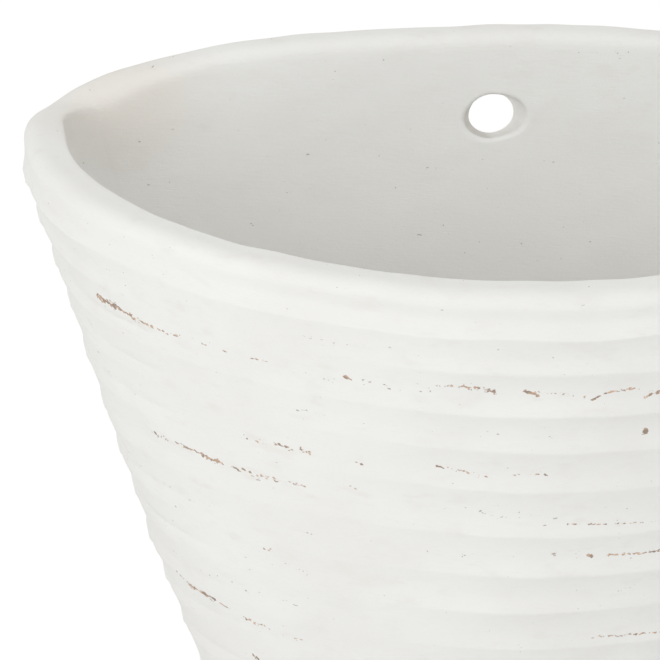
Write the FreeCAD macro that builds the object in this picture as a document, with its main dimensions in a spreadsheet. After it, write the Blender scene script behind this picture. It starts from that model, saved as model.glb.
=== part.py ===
import FreeCAD, Part
import math
import os
import Sketcher
from FreeCAD import Vector

# Hanging wall vase of fired clay, in millimetres, +Z up, front towards -Y.
# It is built in the vase's own frame, where z = 0 is the level of the front rim and y = 0 is the
# widest line of the mouth, and then moved so that the origin is the hanging hole on the back face.

DIMENSIONS = [
    ("mouth_width", 189.4, "outer width of the wall at the rim, in its grooves"),
    ("front_reach", 81.7, "widest line to the outside of the front wall at the rim, in its grooves"),
    ("back_reach", 24.6, "widest line to the flat back face"),
    ("corner_radius", 18.0, "outer radius of the two back corners"),
    ("wall_height", 150.0, "rim level down to the underside"),
    ("wall_thickness", 8.6, "ringed front wall, in its grooves"),
    ("back_thickness", 8.2, "flat back slab"),
    ("base_thickness", 8.0, "floor slab"),
    ("base_draw_in", 55.7, "how far the wall comes in between the rim and the underside"),
    ("belly", 1.7, "how far the wall bulges outside a straight taper, at mid height"),
    ("foot_chamfer", 1.5, "chamfer round the underside"),
    ("ring_depth", 0.6, "how far a ring's crest stands out of its groove"),
    ("ring_step", 1.5, "height of the step below each crest"),
    ("lip_diameter", 8.3, "rounded coil that forms the lip"),
    ("lip_seat", 2.5, "lip centre down to its flat underside on the wall"),
    ("lip_inset", 0.7, "outside of the wall at the rim in to the outside of the lip"),
    ("crown_rise", 19.0, "rim level up to the top of the arched back"),
    ("crown_foot", 1.0, "rim level up to the ends of the arch"),
    ("crown_radius", 300.0, "radius of the middle of the arch"),
    ("crown_middle_reach", 50.0, "centre line out to where the middle of the arch ends"),
    ("back_edge_radius", 3.4, "rounding of the back slab's top edges"),
    ("hole_diameter", 9.0, "hanging hole at the back face"),
    ("hole_drop", 20.2, "top of the arch down to the centre of the hanging hole"),
    ("bore_length", 2.5, "straight stretch of the hanging hole, from the back face"),
    ("hole_mouth_width", 13.2, "flared inner mouth of the hanging hole, across"),
    ("hole_mouth_height", 11.4, "flared inner mouth of the hanging hole, up and down"),
    ("hole_mouth_lift", 2.4, "how far the inner mouth's centre lies above the hole's centre"),
    ("overrun", 5.0, "how far every cutting shape runs past what it cuts"),
]

# Depth of each ring's crest below the rim, as shares of the wall's height.
CREST_DEPTH_SHARES = (
    0.040, 0.095, 0.157, 0.215, 0.281, 0.354, 0.421, 0.481,
    0.547, 0.610, 0.677, 0.740, 0.803, 0.865, 0.925,
)
# Depths at which the smooth inside of the wall is measured, as shares of the wall's height.
HOLLOW_DEPTH_SHARES = (0.0, 0.16, 0.32, 0.48, 0.64, 0.80)

os.makedirs("parts", exist_ok=True)
doc = FreeCAD.newDocument("hanging_wall_vase")
sheet = doc.addObject("Spreadsheet::Sheet", "dimensions")
for row, (alias, value, meaning) in enumerate(DIMENSIONS, start=1):
    sheet.set("A%d" % row, meaning)
    sheet.set("B%d" % row, str(value))
    sheet.setAlias("B%d" % row, alias)
doc.recompute()


def size(alias):
    """A driving dimension, read from the sheet."""
    return float(getattr(sheet, alias))


def bind(thing, **expressions):
    """Tie properties of an object to the sheet. In a property name, two underscores stand for a dot."""
    for name, expression in expressions.items():
        thing.setExpression(name.replace("__", "."), expression)


def draw_in(depth):
    """How far the wall has come in at a depth below the rim: a straight taper less the belly."""
    share = max(depth, 0.0) / size("wall_height")
    return size("base_draw_in") * share - 4 * size("belly") * share * (1 - share)


def wire_of(pieces):
    """One wire from curves that already meet end to end."""
    return Part.Wire([piece.toShape() for piece in pieces])


def round_front(half, front, level=0.0):
    """Ellipse of the rounded front, and its angles at the left side, the middle and the right side.

    The curve is laid along its longer axis, whichever that is, so the angles depend on the sizes.
    """
    centre = Vector(0, 0, level)
    side = Vector(half, 0, level)
    if half >= front:
        angles = math.pi, 3 * math.pi / 2, 2 * math.pi
        return Part.Ellipse(side, Vector(0, front, level), centre), angles
    angles = -math.pi / 2, 0.0, math.pi / 2
    return Part.Ellipse(Vector(0, -front, level), side, centre), angles


def outer_outline(depth, inset=0.0, swell=0.0):
    """D-shaped outside at a depth: half ellipse in front, straight sides, round corners, flat back.

    inset draws the whole front in. swell pushes the front out, and dies away round the back corners.
    """
    level = -depth
    corner = size("corner_radius")
    half = size("mouth_width") / 2 - draw_in(depth) - inset
    front = size("front_reach") - draw_in(depth) - inset
    back = size("back_reach")
    turn = back - corner
    side = half + swell
    bow, (left, _, right) = round_front(side, front + swell, level)
    right_bend = Part.Ellipse(Vector(half - corner, turn, level), corner + swell, corner)
    left_bend = Part.Ellipse(Vector(corner - half, turn, level), corner + swell, corner)
    return wire_of([
        Part.ArcOfEllipse(bow, left, right),
        Part.LineSegment(Vector(side, 0, level), Vector(side, turn, level)),
        Part.ArcOfEllipse(right_bend, 0, math.pi / 2),
        Part.LineSegment(Vector(half - corner, back, level), Vector(corner - half, back, level)),
        Part.ArcOfEllipse(left_bend, math.pi / 2, math.pi),
        Part.LineSegment(Vector(-side, turn, level), Vector(-side, 0, level)),
    ])


def hollow_outline(depth):
    """Inside at a depth: half ellipse in front and straight sides that run back past the slab's face."""
    level = -depth
    half = size("mouth_width") / 2 - draw_in(depth) - size("wall_thickness")
    front = size("front_reach") - draw_in(depth) - size("wall_thickness")
    back = size("back_reach") - size("back_thickness") + size("overrun")
    bow, (left, _, right) = round_front(half, front, level)
    return wire_of([
        Part.ArcOfEllipse(bow, left, right),
        Part.LineSegment(Vector(half, 0, level), Vector(half, back, level)),
        Part.LineSegment(Vector(half, back, level), Vector(-half, back, level)),
        Part.LineSegment(Vector(-half, back, level), Vector(-half, 0, level)),
    ])


def ringed_form():
    """Solid outside of the vase. Below each crest it steps in, then swells slowly to the next crest."""
    top = size("crown_rise") + size("overrun")
    height = size("wall_height")
    outlines = [outer_outline(-top), outer_outline(0.0)]
    for share in CREST_DEPTH_SHARES:
        crest = share * height
        outlines.append(outer_outline(crest, swell=size("ring_depth")))
        outlines.append(outer_outline(crest + size("ring_step")))
    outlines.append(outer_outline(height - size("foot_chamfer")))
    outlines.append(outer_outline(height, inset=size("foot_chamfer")))
    return Part.makeLoft(outlines, True, True)


def hollow_form():
    """Solid inside of the vase, from above the rim down to the top of the base slab."""
    height = size("wall_height")
    depths = [-size("crown_rise") - size("overrun")]
    depths += [share * height for share in HOLLOW_DEPTH_SHARES]
    depths.append(height - size("base_thickness"))
    return Part.makeLoft([hollow_outline(depth) for depth in depths], True, True)


def construction(name, shape):
    """A form that no sketch or primitive gives, kept in the document for the pieces cut from it."""
    form = doc.addObject("Part::Feature", name)
    form.Shape = shape
    return form


def combine(kind, name, base, tool):
    """Part::Cut, Part::Common or Part::Fuse of two objects."""
    result = doc.addObject(kind, name)
    result.Base = base
    result.Tool = tool
    return result


def room(name, floor, height, back):
    """Box wider than the vase that keeps what is cut to it: from a floor up, and forward of a back."""
    box = doc.addObject("Part::Box", name)
    bind(
        box,
        Length="dimensions.mouth_width + 2 * dimensions.overrun",
        Width="dimensions.front_reach + dimensions.overrun + " + back,
        Height=height,
        Placement__Base__x="-dimensions.mouth_width / 2 - dimensions.overrun",
        Placement__Base__y="-dimensions.front_reach - dimensions.overrun",
        Placement__Base__z=floor,
    )
    return box


def plane_of(body, role):
    """One of a body's own origin planes."""
    return next(item for item in body.Origin.OriginFeatures if item.Role == role)


def new_sketch(body, name, role):
    """A sketch on one of a body's own origin planes."""
    sketch = body.newObject("Sketcher::SketchObject", name)
    sketch.AttachmentSupport = [(plane_of(body, role), "")]
    sketch.MapMode = "FlatFace"
    return sketch


def dimension(sketch, name, expression, *constraint):
    """A named sketch dimension that follows the sheet."""
    index = sketch.addConstraint(Sketcher.Constraint(*constraint))
    sketch.renameConstraint(index, name)
    sketch.setExpression("Constraints." + name, expression)


def relate(sketch, *constraint):
    """A sketch constraint with no size."""
    return sketch.addConstraint(Sketcher.Constraint(*constraint))


# Front wall: the ringed shell in front of the back slab, between the base slab and the lip.

outer = construction("outer_form", ringed_form())
hollow = construction("hollow_form", hollow_form())
shell = combine("Part::Cut", "shell", outer, hollow)
front_wall = combine("Part::Common", "front_wall", shell, room(
    "front_room",
    floor="dimensions.base_thickness - dimensions.wall_height",
    height="dimensions.wall_height - dimensions.base_thickness - dimensions.lip_seat",
    back="dimensions.back_reach - dimensions.back_thickness",
))

# Base slab: the floor, which the front wall and the back slab stand on.

base_slab = combine("Part::Common", "base_slab", outer, room(
    "base_room",
    floor="-dimensions.wall_height - dimensions.overrun",
    height="dimensions.base_thickness + dimensions.overrun",
    back="dimensions.back_reach + dimensions.overrun",
))


def arched_plate():
    """Flat plate for the back, wider than the vase, with a three-centred arch along its top."""
    body = doc.addObject("PartDesign::Body", "arched_plate")
    sketch = new_sketch(body, "plate_outline", "XZ_Plane")
    bind(sketch, AttachmentOffset__Base__z="-dimensions.back_reach")
    half = size("mouth_width") / 2
    foot, rise = size("crown_foot"), size("crown_rise")
    bottom = size("base_thickness") - size("wall_height")
    reach, radius = size("crown_middle_reach"), size("crown_radius")

    # The outer arcs start on the middle arc's radius through the joint, and end at the arch's foot.
    lean = math.asin(reach / radius)
    joint = Vector(reach, rise - radius * (1 - math.cos(lean)), 0)
    inward = Vector(-math.sin(lean), -math.cos(lean), 0)
    chord = joint - Vector(half, foot, 0)
    bend = -chord.dot(chord) / (2 * chord.dot(inward))
    centre = joint + inward * bend
    ending = math.atan2(foot - centre.y, half - centre.x)
    up = Vector(0, 0, 1)
    middle = Part.Circle(Vector(0, rise - radius, 0), up, radius)
    right = Part.Circle(centre, up, bend)
    left = Part.Circle(Vector(-centre.x, centre.y, 0), up, bend)
    quarter = math.pi / 2
    corners = [
        Vector(-half, foot, 0),
        Vector(-half, bottom, 0),
        Vector(half, bottom, 0),
        Vector(half, foot, 0),
    ]
    sketch.addGeometry([
        Part.ArcOfCircle(middle, quarter - lean, quarter + lean),
        Part.ArcOfCircle(right, ending, quarter - lean),
        Part.ArcOfCircle(left, quarter + lean, math.pi - ending),
        Part.LineSegment(corners[0], corners[1]),
        Part.LineSegment(corners[1], corners[2]),
        Part.LineSegment(corners[2], corners[3]),
    ], False)
    relate(sketch, "Tangent", 0, 1, 1, 2)
    relate(sketch, "Tangent", 0, 2, 2, 1)
    relate(sketch, "Coincident", 2, 2, 3, 1)
    relate(sketch, "Coincident", 3, 2, 4, 1)
    relate(sketch, "Coincident", 4, 2, 5, 1)
    relate(sketch, "Coincident", 5, 2, 1, 1)
    relate(sketch, "Vertical", 3)
    relate(sketch, "Horizontal", 4)
    relate(sketch, "Vertical", 5)
    relate(sketch, "PointOnObject", 0, 3, -2)
    relate(sketch, "Symmetric", 0, 1, 0, 2, -2)
    relate(sketch, "Symmetric", 3, 1, 5, 2, -2)
    dimension(sketch, "middle_radius", "dimensions.crown_radius", "Radius", 0, radius)
    dimension(sketch, "middle_centre", "dimensions.crown_radius - dimensions.crown_rise",
              "DistanceY", 0, 3, -1, 1, radius - rise)
    dimension(sketch, "joint_reach", "dimensions.crown_middle_reach", "DistanceX", -1, 1, 0, 1, reach)
    dimension(sketch, "arch_foot", "dimensions.crown_foot", "DistanceY", -1, 1, 5, 2, foot)
    dimension(sketch, "half_width", "dimensions.mouth_width / 2", "DistanceX", -1, 1, 5, 2, half)
    dimension(sketch, "depth", "dimensions.wall_height - dimensions.base_thickness",
              "DistanceY", 4, 2, -1, 1, -bottom)

    pad = body.newObject("PartDesign::Pad", "plate")
    pad.Profile = sketch
    bind(pad, Length="dimensions.back_thickness")
    doc.recompute()
    arcs = [
        "Edge%d" % number
        for number, edge in enumerate(pad.Shape.Edges, start=1)
        if isinstance(edge.Curve, Part.Circle)
    ]
    rounding = body.newObject("PartDesign::Fillet", "top_rounding")
    rounding.Base = (pad, arcs)
    bind(rounding, Radius="dimensions.back_edge_radius")
    return body


def hole_cutter():
    """Hanging hole: a short straight bore at the back face that flares upwards to the inside."""
    centre_level = "dimensions.crown_rise - dimensions.hole_drop"
    bore_end = "dimensions.back_reach - dimensions.bore_length"
    bore = doc.addObject("Part::Cylinder", "bore")
    bore.Placement.Rotation = FreeCAD.Rotation(Vector(1, 0, 0), -90)
    bind(
        bore,
        Radius="dimensions.hole_diameter / 2",
        Height="dimensions.bore_length + dimensions.overrun",
        Placement__Base__y=bore_end,
        Placement__Base__z=centre_level,
    )
    throat = doc.addObject("Part::Ellipse", "throat")
    throat.Placement.Rotation = FreeCAD.Rotation(Vector(1, 0, 0), 90)
    bind(
        throat,
        MajorRadius="dimensions.hole_diameter / 2",
        MinorRadius="dimensions.hole_diameter / 2",
        Placement__Base__y=bore_end,
        Placement__Base__z=centre_level,
    )
    mouth = doc.addObject("Part::Ellipse", "mouth")
    mouth.Placement.Rotation = FreeCAD.Rotation(Vector(1, 0, 0), 90)
    bind(
        mouth,
        MajorRadius="dimensions.hole_mouth_width / 2",
        MinorRadius="dimensions.hole_mouth_height / 2",
        Placement__Base__y="dimensions.back_reach - dimensions.back_thickness",
        Placement__Base__z=centre_level + " + dimensions.hole_mouth_lift",
    )
    flare = doc.addObject("Part::Loft", "flare")
    flare.Sections = [throat, mouth]
    flare.Solid = True
    flare.Ruled = True
    return combine("Part::Fuse", "hole_cutter", bore, flare)


# Back slab: the arched plate, trimmed to the vase's outside and pierced by the hanging hole.

trimmed_plate = combine("Part::Common", "trimmed_plate", arched_plate(), outer)
back_slab = combine("Part::Cut", "back_slab", trimmed_plate, hole_cutter())


def lip_coil():
    """Rounded coil with a flat underside, swept round the front, the sides and the back corners."""
    body = doc.addObject("PartDesign::Body", "lip_coil")
    half_lip = size("lip_diameter") / 2
    side = size("mouth_width") / 2 - size("lip_inset") - half_lip
    front = size("front_reach") - size("lip_inset") - half_lip
    turn = size("back_reach") - size("corner_radius")
    bend = size("corner_radius") - size("lip_inset") - half_lip
    lip_words = "dimensions.lip_inset + dimensions.lip_diameter / 2"

    # The section lies in the plane that halves the vase, at the middle of the front.
    section = new_sketch(body, "lip_section", "YZ_Plane")
    seat = size("lip_seat")
    half_chord = math.sqrt(half_lip ** 2 - seat ** 2)
    tilt = math.asin(seat / half_lip)
    ring = Part.Circle(Vector(-front, 0, 0), Vector(0, 0, 1), half_lip)
    section.addGeometry([
        Part.ArcOfCircle(ring, -tilt, math.pi + tilt),
        Part.LineSegment(Vector(-front - half_chord, -seat, 0), Vector(half_chord - front, -seat, 0)),
    ], False)
    relate(section, "Coincident", 0, 2, 1, 1)
    relate(section, "Coincident", 1, 2, 0, 1)
    relate(section, "Horizontal", 1)
    relate(section, "PointOnObject", 0, 3, -1)
    dimension(section, "radius", "dimensions.lip_diameter / 2", "Radius", 0, half_lip)
    dimension(section, "centre", "dimensions.front_reach - (%s)" % lip_words, "DistanceX", 0, 3, -1, 1, front)
    dimension(section, "seat", "dimensions.lip_seat", "DistanceY", 1, 1, -1, 1, seat)

    # The path runs from there along a quarter ellipse and a straight side, and round the corner.
    path = new_sketch(body, "lip_path", "XY_Plane")
    bow, (_, middle, right) = round_front(side, front)
    across_line, deep_line = (3, 4) if side >= front else (4, 3)
    corner = Part.Circle(Vector(side - bend, turn, 0), Vector(0, 0, 1), bend)
    path.addGeometry([
        Part.ArcOfEllipse(bow, middle, right),
        Part.LineSegment(Vector(side, 0, 0), Vector(side, turn, 0)),
        Part.ArcOfCircle(corner, 0, math.pi / 2),
    ], False)
    path.exposeInternalGeometry(0)
    relate(path, "Coincident", 0, 3, -1, 1)
    relate(path, "Horizontal", across_line)
    dimension(path, "across", "dimensions.mouth_width - 2 * (%s)" % lip_words,
              "Distance", across_line, 2 * side)
    dimension(path, "deep", "2 * (dimensions.front_reach - (%s))" % lip_words,
              "Distance", deep_line, 2 * front)
    relate(path, "PointOnObject", 0, 1, -2)
    relate(path, "PointOnObject", 0, 2, -1)
    relate(path, "Coincident", 0, 2, 1, 1)
    relate(path, "Vertical", 1)
    dimension(path, "straight", "dimensions.back_reach - dimensions.corner_radius",
              "DistanceY", 1, 1, 1, 2, turn)
    relate(path, "Tangent", 1, 2, 2, 1)
    dimension(path, "bend", "dimensions.corner_radius - (%s)" % lip_words, "Radius", 2, bend)
    relate(path, "Vertical", 2, 3, 2, 2)

    coil = body.newObject("PartDesign::AdditivePipe", "coil")
    coil.Profile = section
    coil.Spine = (path, ["Edge1", "Edge2", "Edge3"])
    other_side = body.newObject("PartDesign::Mirrored", "other_side")
    other_side.Originals = [coil]
    other_side.MirrorPlane = (plane_of(body, "YZ_Plane"), [""])
    body.Tip = other_side
    return body


# Rim lip: the coil lies on the front wall and ends against the inner face of the back slab.

rim_lip = combine("Part::Common", "rim_lip", lip_coil(), room(
    "lip_room",
    floor="-dimensions.lip_seat",
    height="dimensions.lip_seat + dimensions.lip_diameter",
    back="dimensions.back_reach - dimensions.back_thickness",
))

# The origin is moved to the hanging hole's centre on the back face, and the pieces are checked and written.

pieces = {"front_wall": front_wall, "back_slab": back_slab, "base_slab": base_slab, "rim_lip": rim_lip}
for name, piece in pieces.items():
    piece.Label = name
    bind(
        piece,
        Placement__Base__y="-dimensions.back_reach",
        Placement__Base__z="dimensions.hole_drop - dimensions.crown_rise",
    )
doc.recompute()

for thing in doc.Objects:
    faults = {"Invalid", "Error"} & set(thing.State)
    if faults:
        raise RuntimeError("%s could not be built: %s" % (thing.Label, sorted(faults)))
for name, piece in pieces.items():
    shape = piece.Shape
    if shape.isNull() or not shape.isValid() or len(shape.Solids) != 1:
        raise RuntimeError("%s is not one valid solid" % name)
    box = shape.optimalBoundingBox(False, False)
    print("%-11s %9.0f mm3  x %.1f..%.1f  y %.1f..%.1f  z %.1f..%.1f" % (
        name, shape.Volume, box.XMin, box.XMax, box.YMin, box.YMax, box.ZMin, box.ZMax))
    shape.exportStep("parts/%s.step" % name)
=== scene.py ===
import math

import bpy
import numpy as np
from mathutils import Matrix, Vector


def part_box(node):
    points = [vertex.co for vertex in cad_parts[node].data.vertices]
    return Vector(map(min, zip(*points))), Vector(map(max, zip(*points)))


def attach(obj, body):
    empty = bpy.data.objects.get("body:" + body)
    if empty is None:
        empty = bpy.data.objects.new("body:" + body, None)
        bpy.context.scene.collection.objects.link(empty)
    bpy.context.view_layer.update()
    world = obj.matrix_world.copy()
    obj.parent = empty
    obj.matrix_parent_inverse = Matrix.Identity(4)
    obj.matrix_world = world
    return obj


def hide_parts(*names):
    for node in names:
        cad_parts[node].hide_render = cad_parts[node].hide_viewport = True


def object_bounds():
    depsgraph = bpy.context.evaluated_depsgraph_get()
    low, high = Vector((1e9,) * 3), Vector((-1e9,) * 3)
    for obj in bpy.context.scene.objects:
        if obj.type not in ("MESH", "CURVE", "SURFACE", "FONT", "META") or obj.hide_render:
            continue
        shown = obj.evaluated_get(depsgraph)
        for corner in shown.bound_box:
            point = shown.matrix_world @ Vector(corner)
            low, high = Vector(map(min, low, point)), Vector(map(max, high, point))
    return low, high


# Hanging wall vase of whitewashed clay, in metres. Its shapes are worked out in the vase's own
# frame, where z = 0 is the level of the front rim and y = 0 the widest line of the mouth, and are
# moved home to the frame's origin, the hanging hole on the back face, when they become meshes.

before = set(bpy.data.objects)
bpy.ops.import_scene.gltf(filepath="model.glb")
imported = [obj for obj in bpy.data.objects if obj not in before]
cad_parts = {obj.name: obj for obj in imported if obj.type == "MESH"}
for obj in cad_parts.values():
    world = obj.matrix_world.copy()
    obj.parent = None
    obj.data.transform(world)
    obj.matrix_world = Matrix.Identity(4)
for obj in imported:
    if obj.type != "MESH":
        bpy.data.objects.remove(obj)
cad_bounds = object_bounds()

MM = 0.001

# Sizes that the frame's boxes don't give.
BACK_REACH = 24.6 * MM
LIP_RADIUS = 4.15 * MM
LIP_SEAT = 2.5 * MM
LIP_INSET = 0.7 * MM
CORNER = 18.0 * MM
INNER_CORNER = 7.0 * MM
WALL = 8.6 * MM
DRAW_IN = 55.7 * MM
BELLY = 1.7 * MM
FOOT_CHAMFER = 1.5 * MM
CROWN_FOOT = 1.0 * MM
CROWN_RADIUS = 300.0 * MM
CROWN_MIDDLE_REACH = 50.0 * MM
HOLE_DROP = 20.2 * MM
BACK_SOFT = 1.5 * MM

# The rings: depth of each crest below the rim, as shares of the wall's height, how far crests stand out
# and how round they are, how uneven their strength and level are, and where round the vase, in degrees,
# they are weak. CALM is how much is lost on the left of the front, LEFT_END what is left at the left end.
CREST_DEPTH_SHARES = np.array([
    0.040, 0.095, 0.157, 0.215, 0.281, 0.354, 0.421, 0.481,
    0.547, 0.610, 0.677, 0.740, 0.803, 0.865, 0.925,
])
RING_DEPTH = 1.1 * MM
CREST_ROUND = 0.035
UNEVEN_CREST = 0.28
RING_WANDER = 0.33 * MM
CALM = 0.82
CALM_TURNS = (-166, -148, -122, -90)
LEFT_END = 0.55
LEFT_TURNS = (-140, -104)

# The creases: where they lie in a ring and how wide they are, as shares of a ring, their depth, where
# round the vase, in degrees, they start and end, and the mean, swing and most of their uneven strength,
# which reads the rings' field this many rings on.
CREASE_PHASE = 0.63
CREASE_WIDTH = 0.045
CREASE_DEPTH = 0.36 * MM
CREASE_TURNS = (-174, -166, -156, -146)
CREASE_MEAN = 0.75
UNEVEN_CREASE = 0.5
CREASE_MOST = 1.3
CREASE_FIELD = 9

# The back's top edge is a little fuller than the CAD's arch on each side of the hole, between these x.
LEFT_FULL = 0.78 * MM
LEFT_FULL_X = (-91 * MM, -84 * MM, -42 * MM, -22 * MM)
RIGHT_FULL = 0.36 * MM
RIGHT_FULL_X = (6 * MM, 20 * MM, 55 * MM, 80 * MM)
EDGE_SOFT = 1.2 * MM

# The rim's top: how square its outer, inner and back edges are, its height over the lip's middle, how
# far its inner edge stays back from the lip's own radius round the front, the lip's lower edge, the
# valley under it, and how fast the lip's tail leaves and arrives and how much it leans in at first.
OUTER_POWER = 2.6
INNER_POWER = 6.0
BACK_POWER = 2.8
CAP_HEIGHT = 3.6 * MM
INNER_BACK = 0.4 * MM
LIP_EDGE = 1.3 * MM
VALLEY_DEPTH = 2.7 * MM
VALLEY_REACH = 3.0 * MM
VALLEY_LEAST = 0.25
VALLEY_SHARES = (-0.9, -0.45)
VALLEY_POWER = 1.35
TAIL_PULL = 2.2 * MM
TAIL_LEAN = 0.05

# How far the hand pushes the clay about, by slow warp, sway and dents.
WARP_PUSH = 0.22 * MM
SWAY_PUSH = 0.10 * MM
DENT_PUSH = 0.05 * MM

lip_low, lip_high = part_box("rim_lip")
slab_low, slab_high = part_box("back_slab")
base_low, base_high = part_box("base_slab")

RIM_LEVEL = lip_high.z - LIP_RADIUS
HOME = np.array([0.0, slab_high.y - BACK_REACH, RIM_LEVEL])
LIP_HALF = lip_high.x - LIP_RADIUS
LIP_FRONT = HOME[1] - lip_low.y - LIP_RADIUS
MOUTH_HALF = lip_high.x + LIP_INSET
SEAM = slab_low.y - HOME[1]
TURN = BACK_REACH - CORNER
CROWN_RISE = slab_high.z - RIM_LEVEL
BASE_TOP = base_high.z - RIM_LEVEL
HEIGHT = RIM_LEVEL - base_low.z
GROOVE = MOUTH_HALF - LIP_HALF
HOLE_LEVEL = CROWN_RISE - HOLE_DROP
SEAM_ANGLE = math.asin((SEAM - TURN) / CORNER)


# Hand-made unevenness: sums of a few sines with fixed random directions and phases

def swell_field(seed, wavelength, count=7):
    """Smooth random field of places, about -1 to 1: the mean of sines along random directions."""
    draw = np.random.default_rng(seed)
    directions = draw.normal(size=(count, 3))
    directions /= np.linalg.norm(directions, axis=1)[:, None]
    rates = 2 * np.pi / (wavelength * draw.uniform(0.7, 1.5, count))
    phases = draw.uniform(0, 2 * np.pi, count)

    def field(places):
        turns = places @ (directions * rates[:, None]).T + phases
        return np.sin(turns).sum(-1) / math.sqrt(count)

    return field


FIELD_RINGS = 64


def ring_field(seed, harmonics=(1, 2, 3, 5, 8, 13)):
    """Smooth random function of the way round and of a ring's number, about -1 to 1."""
    draw = np.random.default_rng(seed)
    phases = draw.uniform(0, 2 * np.pi, (len(harmonics), FIELD_RINGS))
    weights = 1 / np.sqrt(np.array(harmonics, float))
    weights /= np.sqrt((weights ** 2).sum())

    def field(angle, ring):
        total = np.zeros(np.broadcast(angle, ring).shape)
        for harmonic, phase, weight in zip(harmonics, phases, weights):
            total = total + weight * np.sin(harmonic * angle + phase[ring])
        return total

    return field


RING_STRENGTH = ring_field(5)
RING_LEVEL = ring_field(17)


def smooth_step(low, high, value):
    """0 below low, 1 above high and a cubic between, with level ends."""
    share = np.clip((value - low) / (high - low), 0, 1)
    return share * share * (3 - 2 * share)


def smooth_span(ends, value):
    """Smooth step up between the first two ends, and down again between the last two."""
    return smooth_step(*ends[:2], value) * (1 - smooth_step(*ends[2:], value))


# The vase's outline, carried down the wall

def outline(*parts):
    """Columns round the vase, in four rows: wide, wide_shift, deep and deep_shift. Each part is one stretch
    of the outline."""
    return np.concatenate([np.array(np.broadcast_arrays(*part)) for part in parts], axis=1)


def columns_at(columns, reach):
    """x and y of an outline's columns at a reach from the lip's middle line: half * wide + wide_shift and
    front * deep + deep_shift, where half and front are the lip's half width and front plus the reach."""
    wide, wide_shift, deep, deep_shift = columns
    return (LIP_HALF + reach) * wide + wide_shift, (LIP_FRONT + reach) * deep + deep_shift


def bow_columns(count):
    """Half ellipse from the left side round the front to the right side, both ends left out."""
    angle = np.linspace(np.pi, 2 * np.pi, count + 1)[1:-1]
    return np.cos(angle), 0, np.sin(angle), 0


def side_columns(sign, y):
    """Straight side at the full half width, at the given places along y."""
    return sign, 0, 0, y


def corner_columns(sign, radius, centre_y, angle):
    """Arc of a corner: half width less the radius, plus radius * cos, and centre + radius * sin."""
    return sign, sign * radius * (np.cos(angle) - 1), 0, centre_y + radius * np.sin(angle)


def back_columns(radius, y, across):
    """Straight back at a place along y, between corners of a radius, at shares across of half its width."""
    return across, -radius * across, 0, y


BOW_STEPS = 196
SIDE_STEPS = 7
CORNER_STEPS = 9
BACK_CORNER_STEPS = 14
BACK_STEPS = 132

side_share = np.linspace(0, 1, SIDE_STEPS + 1)
seam_share = np.linspace(0, 1, CORNER_STEPS + 1)[1:]


def front_outline(radius, centre, end):
    """Front of an outline: left corner arc up to the end angle, left side, bow, right side, right arc."""
    return outline(
        corner_columns(-1, radius, centre, end * seam_share[::-1]),
        side_columns(-1, centre * side_share[::-1]),
        bow_columns(BOW_STEPS),
        side_columns(1, centre * side_share),
        corner_columns(1, radius, centre, end * seam_share),
    )


outer_front = front_outline(CORNER, TURN, SEAM_ANGLE)
inner_front = front_outline(INNER_CORNER, SEAM - INNER_CORNER, np.pi / 2)
corner_share = np.linspace(0, 1, BACK_CORNER_STEPS + 1)[:-1]
back_share = np.linspace(0, 1, BACK_STEPS + 1)
corner_angle = SEAM_ANGLE + (np.pi / 2 - SEAM_ANGLE) * corner_share
outer_back = outline(
    corner_columns(1, CORNER, TURN, corner_angle),
    back_columns(CORNER, BACK_REACH, 1 - 2 * back_share),
    corner_columns(-1, CORNER, TURN, corner_angle[::-1]),
)


def inner_back_columns():
    """Straight inside of the back, from the right corner to the left. A column's share of the half width
    is g u - (g - 1) u |u|^4 for the outside column's share u, with the gain g that the outside's half
    width has over the inside's, which puts the two nearly opposite each other."""
    outside, _ = columns_at(outer_back, GROOVE)
    share = outside / outside.max()
    outside_half = LIP_HALF + LIP_RADIUS - CORNER * (1 - math.cos(SEAM_ANGLE))
    gain = outside_half / (LIP_HALF - LIP_RADIUS - INNER_CORNER)
    return back_columns(INNER_CORNER, SEAM, gain * share - (gain - 1) * share * np.abs(share) ** 4)


inner_back = outline(inner_back_columns())
OUTER = (outer_front, outer_back)
INNER = (inner_front, inner_back)


def joined(front, back):
    """Front columns and back columns in one closed loop. The back's end columns are the front's too."""
    return np.concatenate([front, np.array(back)[..., 1:-1]], axis=-1)


FRONT_COLUMNS = outer_front.shape[1]
BACK_COLUMNS = outer_back.shape[1]


# Levels of the rows down the wall

RING_ROWS = np.array([0, 0.03, 0.07, 0.13, 0.22, 0.34, 0.47, 0.58, 0.63, 0.68, 0.78, 0.89, 0.96])
BAND_ROWS = np.array([0.0, 0.12, 0.3, 0.5, 0.7, 0.86, 0.96])
FOOT_ROWS = np.array([0.0, 0.04, 0.12, 0.3, 0.6, 1.0])
FOOT_PHASE = 0.5
LIP_STEPS = 8
ARC_STEPS = 29
TAIL_STEPS = 6

crests = CREST_DEPTH_SHARES * HEIGHT
band_depths = LIP_SEAT + BAND_ROWS * (crests[0] - LIP_SEAT)
ring_depths = crests[:-1, None] + RING_ROWS * np.diff(crests)[:, None]
foot_depths = crests[-1] + FOOT_ROWS * (-BASE_TOP - crests[-1])
DEPTHS = np.concatenate([band_depths, ring_depths.ravel(), foot_depths])
PHASES = np.interp(DEPTHS, crests, np.arange(len(crests)))
PHASES[: len(BAND_ROWS)] = BAND_ROWS - 1
PHASES[-len(FOOT_ROWS) :] = len(crests) - 1 + FOOT_ROWS * FOOT_PHASE
BAND = len(BAND_ROWS)


def draw_in(depth):
    """How far the wall has come in at a depth: a straight taper less the belly, 4 * belly * s * (1 - s)."""
    share = depth / HEIGHT
    return DRAW_IN * share - 4 * BELLY * share * (1 - share)


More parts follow.
